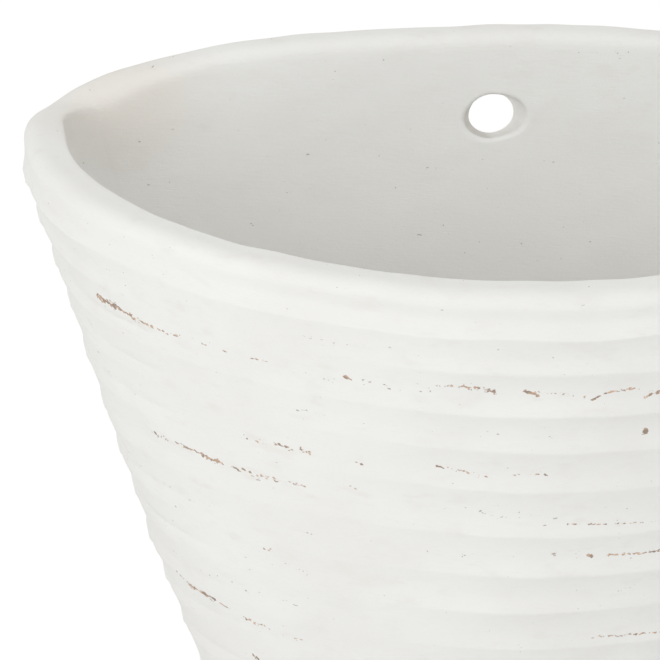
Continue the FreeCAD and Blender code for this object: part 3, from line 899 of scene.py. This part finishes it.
def base_piece():
    """Floor of the vase: from the middle of its top out to the wall, down the foot, round the chamfer and
    in to the middle of the underside, which is hollowed by the square root of the share in."""
    edge = whole[0]
    middle = np.array([0.0, (edge[:, 1].min() + edge[:, 1].max()) / 2, 0.0])
    drop = BASE_DROPS * (HEIGHT + BASE_TOP - FOOT_CHAMFER)
    depths = -BASE_TOP + drop
    foot = wall_places(OUTER, GROOVE - draw_in(depths)[:, None], depths, 0.0)
    foot = hand_made(foot)
    foot = foot + (edge - foot[0]) * (1 - drop / drop[-1])[:, None, None] ** 2
    turn = np.radians(CHAMFER_TURNS)[:, None, None]
    last = foot[-1]
    inward = (middle - last) * [1, 1, 0]
    inward /= np.linalg.norm(inward, axis=1, keepdims=True)
    chamfer = last + inward * FOOT_CHAMFER * (1 - np.cos(turn))
    chamfer[..., 2] += (-HEIGHT - last[:, 2]) * np.sin(turn[..., 0])
    shares = BASE_SHARES[:, None, None]
    under = middle * [1, 1, 0] + (chamfer[-1] - middle) * [1, 1, 0] * shares + [0, 0, -HEIGHT]
    under[..., 2] += UNDER_HOLLOW * (1 - shares[..., 0]) ** 0.5
    top = middle * [1, 1, 0] + (edge - middle) * [1, 1, 0] * shares[::-1] + [0, 0, BASE_TOP]
    top[..., 2] += BASE_DENTS * DENTS(top)[..., 2] * (1 - shares[::-1][..., 0] ** 6)
    rows = np.concatenate([top, foot, chamfer, under])
    normals = -grid_normals(rows)
    index = np.arange(rows.shape[0] * rows.shape[1]).reshape(rows.shape[:2])
    poles = np.array([[0, middle[1], BASE_TOP], [0, middle[1], -HEIGHT + UNDER_HOLLOW]])
    places = np.concatenate([rows.reshape(-1, 3), poles])
    all_normals = np.concatenate([normals.reshape(-1, 3), [[0, 0, 1], [0, 0, -1]]])
    all_normals[: len(shares) * COLUMNS] = [0, 0, 1]
    following = np.roll(index, -1, axis=1)
    top_pole = np.stack([index[0], following[0], np.full(COLUMNS, len(places) - 2)], axis=-1)
    low_pole = np.stack([following[-1], index[-1], np.full(COLUMNS, len(places) - 1)], axis=-1)
    quads = strip_faces(index, closed_columns=True).reshape(-1, 4)[:, ::-1]
    none = np.zeros(len(places))
    values = {"ring": none - 2.0, "round": none, "down": none - 1.0}
    return make_piece(
        "base_slab_clay", places, all_normals, quads, quads[:0], values,
        smooth_triangles=np.concatenate([top_pole, low_pole]),
    )


base_slab = base_piece()
PIECES = {"front_wall": front_wall, "rim_lip": rim_lip, "back_slab": back_slab, "base_slab": base_slab}


# Materials

class Maker:
    """Short ways to add nodes to a node tree and to join them."""

    def __init__(self, tree):
        self.tree = tree

    def add(self, kind, inputs=None, **settings):
        """A new node with its settings, and a value or a link for each named or numbered input."""
        node = self.tree.nodes.new(kind)
        for name, value in settings.items():
            setattr(node, name, value)
        self.feed(node, inputs or {})
        return node

    def feed(self, node, inputs):
        """Give each named or numbered input of a node its value or its link."""
        for name, value in inputs.items():
            if isinstance(value, bpy.types.NodeSocket):
                self.tree.links.new(value, node.inputs[name])
            else:
                node.inputs[name].default_value = value

    def math(self, operation, first, second=0.0, third=0.0, clamp=False):
        """Result socket of a math node."""
        values = {0: first, 1: second, 2: third}
        return self.add("ShaderNodeMath", values, operation=operation, use_clamp=clamp).outputs[0]

    def mix(self, share, first, second):
        """Colour socket of a mix of two colours."""
        node = self.add("ShaderNodeMix", data_type="RGBA")
        self.feed(node, {0: share, 6: first, 7: second})
        return node.outputs[2]

    def weaken(self, mask, share):
        """A mask times a share."""
        return self.math("MULTIPLY", mask, share)

    def step(self, value, low, high):
        """Smooth step of a value from low to high."""
        ends = {"Value": value, "From Min": low, "From Max": high}
        return self.add("ShaderNodeMapRange", ends, interpolation_type="SMOOTHSTEP").outputs["Result"]

    def fall(self, value, low, high):
        """1 less the smooth step of a value from low to high."""
        return self.math("SUBTRACT", 1.0, self.step(value, low, high))

    def noise(self, places, scale, detail=2.0, roughness=0.5):
        """Noise at places, features about 1 / scale metres wide."""
        values = {"Vector": places, "Scale": scale, "Detail": detail, "Roughness": roughness}
        return self.add("ShaderNodeTexNoise", values).outputs["Fac"]

    def vector(self, operation, first, second):
        """Vector math node of two vectors."""
        return self.add("ShaderNodeVectorMath", {0: first, 1: second}, operation=operation)

    def stretch(self, places, upright):
        """Places with their height multiplied, so that a pattern lies flat along the rings."""
        return self.vector("MULTIPLY", places, (1.0, 1.0, upright)).outputs[0]


def group_tree(name, inputs, output):
    """Empty shader group with a float output and named inputs: a float each, or a vector for None."""
    tree = bpy.data.node_groups.new(name, "ShaderNodeTree")
    for label, value in inputs.items():
        kind = "NodeSocketVector" if value is None else "NodeSocketFloat"
        socket = tree.interface.new_socket(label, in_out="INPUT", socket_type=kind)
        if value is not None:
            socket.default_value = value
    tree.interface.new_socket(output, in_out="OUTPUT", socket_type="NodeSocketFloat")
    maker = Maker(tree)
    return tree, maker, maker.add("NodeGroupInput"), maker.add("NodeGroupOutput")


def fleck_group():
    """Scattered flecks: noise with its height stretched, cut at a level that a nudge lowers."""
    inputs = {"Places": None, "Scale": 500.0, "Stretch": 2.0, "Level": 0.7, "Softness": 0.03, "Nudge": 0.0}
    tree, maker, given, result = group_tree("flecks", inputs, "Mask")
    upright = maker.add("ShaderNodeCombineXYZ", {0: 1.0, 1: 1.0, 2: given.outputs["Stretch"]}).outputs[0]
    flat = maker.vector("MULTIPLY", given.outputs["Places"], upright)
    noise = maker.noise(flat.outputs[0], given.outputs["Scale"], 2.5, 0.55)
    raised = maker.math("ADD", noise, given.outputs["Nudge"])
    top = maker.math("ADD", given.outputs["Level"], given.outputs["Softness"])
    mask = maker.step(raised, given.outputs["Level"], top)
    maker.tree.links.new(mask, result.inputs["Mask"])
    return tree


LOWEST_SCORE = -1000.0


def stroke_group():
    """The larger of a score so far and a stroke's own: strength * (1 - distance / width), where distance
    is from a place to the stroke."""
    inputs = {"Place": None, "From": None, "To": None, "Width": MM, "Strength": 1.0, "So far": LOWEST_SCORE}
    tree, maker, given, result = group_tree("stroke", inputs, "Score")
    run = maker.vector("SUBTRACT", given.outputs["To"], given.outputs["From"]).outputs[0]
    out = maker.vector("SUBTRACT", given.outputs["Place"], given.outputs["From"]).outputs[0]
    along = maker.vector("DOT_PRODUCT", out, run).outputs["Value"]
    length = maker.vector("DOT_PRODUCT", run, run).outputs["Value"]
    share = maker.math("DIVIDE", along, length, clamp=True)
    foot = maker.add("ShaderNodeVectorMath", {0: run, "Scale": share}, operation="SCALE").outputs[0]
    away = maker.vector("DISTANCE", out, foot).outputs["Value"]
    widths = maker.math("DIVIDE", away, given.outputs["Width"])
    own = maker.math("MULTIPLY", maker.math("SUBTRACT", 1.0, widths), given.outputs["Strength"])
    tree.links.new(maker.math("MAXIMUM", own, given.outputs["So far"]), result.inputs["Score"])
    return tree


def stroke_score(maker, strokes):
    """Largest score of the strokes: their strength on a stroke's line, 0 at its width and less beyond."""
    way_round = maker.add("ShaderNodeAttribute", attribute_name="round").outputs["Fac"]
    down = maker.add("ShaderNodeAttribute", attribute_name="down").outputs["Fac"]
    place = maker.add("ShaderNodeCombineXYZ", {0: way_round, 1: down}).outputs[0]
    group = stroke_group()
    score = LOWEST_SCORE
    for x0, y0, x1, y1, width, strength in strokes:
        ends = {"From": wall_spot(x0, y0), "To": wall_spot(x1, y1)}
        values = {"Place": place, **ends, "Width": width * PIXEL, "Strength": strength, "So far": score}
        score = maker.add("ShaderNodeGroup", values, node_tree=group).outputs["Score"]
    return score


# Colours of the wash and of what shows through it, the painted light inside, the painted shade in the
# hole and round the left inner corner by the rim, and the middle of that corner's painted shade
WASH = (0.862, 0.860, 0.838, 1)
BRIGHT_WASH = (0.884, 0.888, 0.868, 1)
MOTTLED_WASH = (0.845, 0.840, 0.808, 1)
BRUSHED_WASH = (0.80, 0.79, 0.75, 1)
# Painted light: a lighter colour that lifts the inside.
INSIDE_PAINTED_LIGHT = (0.922, 0.915, 0.890, 1)
THIN_WASH = (0.66, 0.57, 0.46, 1)
# Painted shade: a warm tan darkening round the left inner corner by the rim.
CORNER_PAINTED_SHADE = (0.70, 0.61, 0.51, 1)
HOLE_SHADE = (0.40, 0.36, 0.30, 1)
GREY_MARK = (0.30, 0.27, 0.235, 1)
BROWN_MARK = (0.36, 0.26, 0.19, 1)
DARK_RUST = (0.29, 0.205, 0.155, 1)
LIGHT_RUST = (0.62, 0.41, 0.27, 1)
CORNER_SHADE_MIDDLE = (-0.074, -0.014, 0.007)

# Levels between which each mask rises or falls, and how strongly it lays its colour
LOW_IN_RING = (0.36, 0.50, 0.55, 0.70)
WALL_LEVELS = (-0.6, -0.3)
PATCH_LEVELS = (0.48, 0.62)
BRIGHT_LEVELS = (0.3, 0.7)
MOTTLED_LEVELS = (0.5, 0.85)
BRUSHED_LEVELS = (0.52, 0.8)
BRUSHED_SHARE = 0.25
INSIDE_LIGHT_LEVELS = (-1.9, -1.1)
INSIDE_LIGHT_SHARE = 0.85
SHADE_LEVELS = (-3.0, -2.0)
SHADE_SHARE = 0.3
CORNER_SHADE_LEVELS = (0.007, 0.024)
CORNER_SHADE_SHARE = 0.3
THIN_SHARE = 0.13
GREY_SHARE = 0.6
BROWN_SHARE = 0.7
RUST_SHARE = 0.9
RUST_LEVELS = (0.38, 0.62)

# How far a mark's own strokes and the rings' low patches nudge the flecks, and the relief's shares
THIN_NUDGE = 0.12
RUST_NUDGE = 0.42
GATHER_NUDGE = 0.085
FINE_RELIEF = 0.35
BRUSHED_RELIEF = 0.9
MOTTLED_RELIEF = 0.8
MARK_RELIEF = 0.5
BUMP = {"Strength": 0.4, "Distance": 0.0002}


def new_material(name):
    """Empty node material and a maker for its tree."""
    material = bpy.data.materials.new(name)
    material.use_nodes = True
    material.node_tree.nodes.clear()
    return material, Maker(material.node_tree)


def clay_material():
    """Whitewashed clay: matt white, softly mottled and brushed along the rings, tan where the wash is thin,
    with broken rust and brown marks low in the rings and a few dark flecks sunk in, painted light that
    lifts the inside, and painted shade in the hole's left side and round the left inner corner by the rim."""
    material, maker = new_material("whitewashed_clay")
    flecks = fleck_group()
    places = maker.add("ShaderNodeTexCoord").outputs["Object"]
    ring = maker.add("ShaderNodeAttribute", attribute_name="ring").outputs["Fac"]
    score = stroke_score(maker, RUST_PIXELS)
    close = maker.math("MAXIMUM", score, 0.0)
    wide = maker.math("MULTIPLY_ADD", score, 0.4, 0.6, clamp=True)

    def fleck(**values):
        node = maker.add("ShaderNodeGroup", {"Places": places, **values}, node_tree=flecks)
        return node.outputs["Mask"]

    # Where marks gather by themselves: low in each ring of the outside, in patches.
    share = maker.math("FRACT", ring)
    down_to_mark = maker.step(share, *LOW_IN_RING[:2])
    low_in_ring = maker.math("MULTIPLY", down_to_mark, maker.fall(share, *LOW_IN_RING[2:]))
    on_wall = maker.step(ring, *WALL_LEVELS)
    patchy = maker.step(maker.noise(places, 30.0, 2.0), *PATCH_LEVELS)
    gather = maker.math("MULTIPLY", maker.math("MULTIPLY", low_in_ring, on_wall), patchy)

    # Colour: mottling, brushed grain, painted light inside, painted shade on the hole's shaded side and
    # round the left inner corner, thin wash, marks.
    slow = maker.noise(places, 38.0, 2.0)
    middle = maker.noise(maker.stretch(places, 2.0), 150.0, 3.0)
    brushed = maker.noise(maker.stretch(places, 6.0), 420.0, 4.0, 0.6)
    fine = maker.noise(places, 2300.0, 2.0, 0.6)
    wash = maker.mix(maker.step(slow, *BRIGHT_LEVELS), WASH, BRIGHT_WASH)
    wash = maker.mix(maker.step(middle, *MOTTLED_LEVELS), wash, MOTTLED_WASH)
    wash = maker.mix(maker.weaken(maker.step(brushed, *BRUSHED_LEVELS), BRUSHED_SHARE), wash, BRUSHED_WASH)
    # Painted light: the inside is lightened, fading in down from the rim.
    wash = maker.mix(maker.weaken(maker.fall(ring, *INSIDE_LIGHT_LEVELS), INSIDE_LIGHT_SHARE), wash, INSIDE_PAINTED_LIGHT)
    wash = maker.mix(maker.weaken(maker.fall(ring, *SHADE_LEVELS), SHADE_SHARE), wash, HOLE_SHADE)
    # Painted shade: warm darkening that falls off with the distance from a point by the left inner corner.
    from_corner_shade = maker.vector("DISTANCE", places, CORNER_SHADE_MIDDLE).outputs["Value"]
    wash = maker.mix(maker.weaken(maker.fall(from_corner_shade, *CORNER_SHADE_LEVELS), CORNER_SHADE_SHARE), wash, CORNER_PAINTED_SHADE)
    thin = fleck(Scale=120.0, Stretch=2.5, Level=0.64, Softness=0.2, Nudge=maker.weaken(wide, THIN_NUDGE))
    wash = maker.mix(maker.weaken(thin, THIN_SHARE), wash, THIN_WASH)
    gather_nudge = maker.weaken(gather, GATHER_NUDGE)
    rust_nudge = maker.weaken(close, RUST_NUDGE)
    grey = fleck(Scale=820.0, Stretch=1.7, Level=0.745, Softness=0.02, Nudge=gather_nudge)
    brown = fleck(Scale=430.0, Stretch=1.9, Level=0.765, Softness=0.02, Nudge=gather_nudge)
    rust = fleck(Scale=1080.0, Stretch=1.5, Level=0.79, Softness=0.07, Nudge=rust_nudge)
    wash = maker.mix(maker.weaken(grey, GREY_SHARE), wash, GREY_MARK)
    wash = maker.mix(maker.weaken(brown, BROWN_SHARE), wash, BROWN_MARK)
    rust_tone = maker.step(maker.noise(places, 900.0, 2.0), *RUST_LEVELS)
    wash = maker.mix(maker.weaken(rust, RUST_SHARE), wash, maker.mix(rust_tone, DARK_RUST, LIGHT_RUST))

    # Relief: a fine sandy grain, brush lines and sunk marks.
    height = maker.weaken(fine, FINE_RELIEF)
    height = maker.math("ADD", height, maker.weaken(brushed, BRUSHED_RELIEF))
    height = maker.math("ADD", height, maker.weaken(middle, MOTTLED_RELIEF))
    height = maker.math("SUBTRACT", height, maker.weaken(maker.math("MAXIMUM", grey, brown), MARK_RELIEF))
    bump = maker.add("ShaderNodeBump", {"Height": height, **BUMP})
    shader = maker.add("ShaderNodeBsdfPrincipled", {
        "Base Color": wash,
        "Roughness": maker.math("ADD", 0.84, maker.weaken(fine, 0.12)),
        "Specular IOR Level": 0.25,
        "Normal": bump.outputs["Normal"],
    })
    maker.add("ShaderNodeOutputMaterial", {"Surface": shader.outputs[0]})
    return material


clay = clay_material()
for node_name, piece in PIECES.items():
    piece.data.materials.append(clay)
    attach(piece, "root")
    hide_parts(node_name)


# Stage: pale floor that shows white, soft light, and the camera

FLOOR_HALF = 6.0
FLOOR_PALE = (0.90, 0.90, 0.90, 1)
FLOOR_GLOW = 0.28
WORLD_LEVEL = 0.79
WORLD_COLOUR = (1.0, 0.995, 0.985, 1)


def background_rays(maker):
    """1 for rays that show the background itself: camera, glossy and transmission rays."""
    rays = maker.add("ShaderNodeLightPath")
    seen = maker.math("MAXIMUM", rays.outputs["Is Camera Ray"], rays.outputs["Is Glossy Ray"])
    return maker.math("MAXIMUM", seen, rays.outputs["Is Transmission Ray"])


def floor_material():
    """Pale matt floor, with a glow for background rays that lifts it to white and keeps the shadow."""
    material, maker = new_material("pale_floor")
    paint = maker.add("ShaderNodeBsdfDiffuse", {"Color": FLOOR_PALE})
    glow = maker.add("ShaderNodeEmission", {"Strength": maker.weaken(background_rays(maker), FLOOR_GLOW)})
    both = maker.add("ShaderNodeAddShader", {0: paint.outputs[0], 1: glow.outputs[0]})
    maker.add("ShaderNodeOutputMaterial", {"Surface": both.outputs[0]})
    return material


def make_floor():
    """Square floor just under the foot."""
    mesh = bpy.data.meshes.new("floor")
    corners = FLOOR_HALF * np.array([[-1, -1, 0], [1, -1, 0], [1, 1, 0], [-1, 1, 0]])
    mesh.from_pydata((corners + [0, 0, base_low.z]).tolist(), [], [(0, 1, 2, 3)])
    mesh.materials.append(floor_material())
    floor = bpy.data.objects.new("floor", mesh)
    bpy.context.scene.collection.objects.link(floor)


def make_world():
    """Even pale surroundings that light at a plain level and show white behind the vase."""
    world = bpy.data.worlds.new("surroundings")
    bpy.context.scene.world = world
    world.use_nodes = True
    maker = Maker(world.node_tree)
    maker.tree.nodes.clear()
    level = maker.math("ADD", WORLD_LEVEL, maker.weaken(background_rays(maker), 1.0 - WORLD_LEVEL))
    sky = maker.add("ShaderNodeBackground", {"Color": WORLD_COLOUR, "Strength": level})
    maker.add("ShaderNodeOutputWorld", {"Surface": sky.outputs[0]})


LAMP_TARGET = Vector((0, -0.05, -0.06))
LAMP_AWAY = 1.4
LAMP_SIDE = 0.8


def make_lamp(name, round_angle, height_angle, power):
    """Square soft lamp turned to the vase, at a way round from the front and a height, in degrees."""
    way = math.radians(round_angle)
    lift = math.radians(height_angle)
    toward = Vector((math.sin(way) * math.cos(lift), -math.cos(way) * math.cos(lift), math.sin(lift)))
    data = bpy.data.lights.new(name, "AREA")
    data.size = LAMP_SIDE
    data.energy = power
    lamp = bpy.data.objects.new(name, data)
    lamp.location = LAMP_TARGET + toward * LAMP_AWAY
    lamp.rotation_euler = (-toward).to_track_quat("-Z", "Y").to_euler()
    bpy.context.scene.collection.objects.link(lamp)


def make_camera():
    """Camera at its place, its axes right, up and backwards along the view."""
    data = bpy.data.cameras.new("camera")
    data.sensor_width = SENSOR
    data.lens = SENSOR * STAND_OFF / (PICTURE * PIXEL)
    data.clip_start = CLIP_START
    data.clip_end = CLIP_END
    camera = bpy.data.objects.new("camera", data)
    turn = Matrix([camera_right, camera_up, -forward]).transposed().to_4x4()
    camera.matrix_world = Matrix.Translation(Vector(camera_place + HOME)) @ turn
    bpy.context.scene.collection.objects.link(camera)
    bpy.context.scene.camera = camera


make_floor()
make_world()
make_lamp("left_lamp", -40, 8, 3.4)
make_lamp("front_lamp", -28, 35, 1.65)
make_camera()
bpy.context.scene.view_settings.view_transform = "Standard"
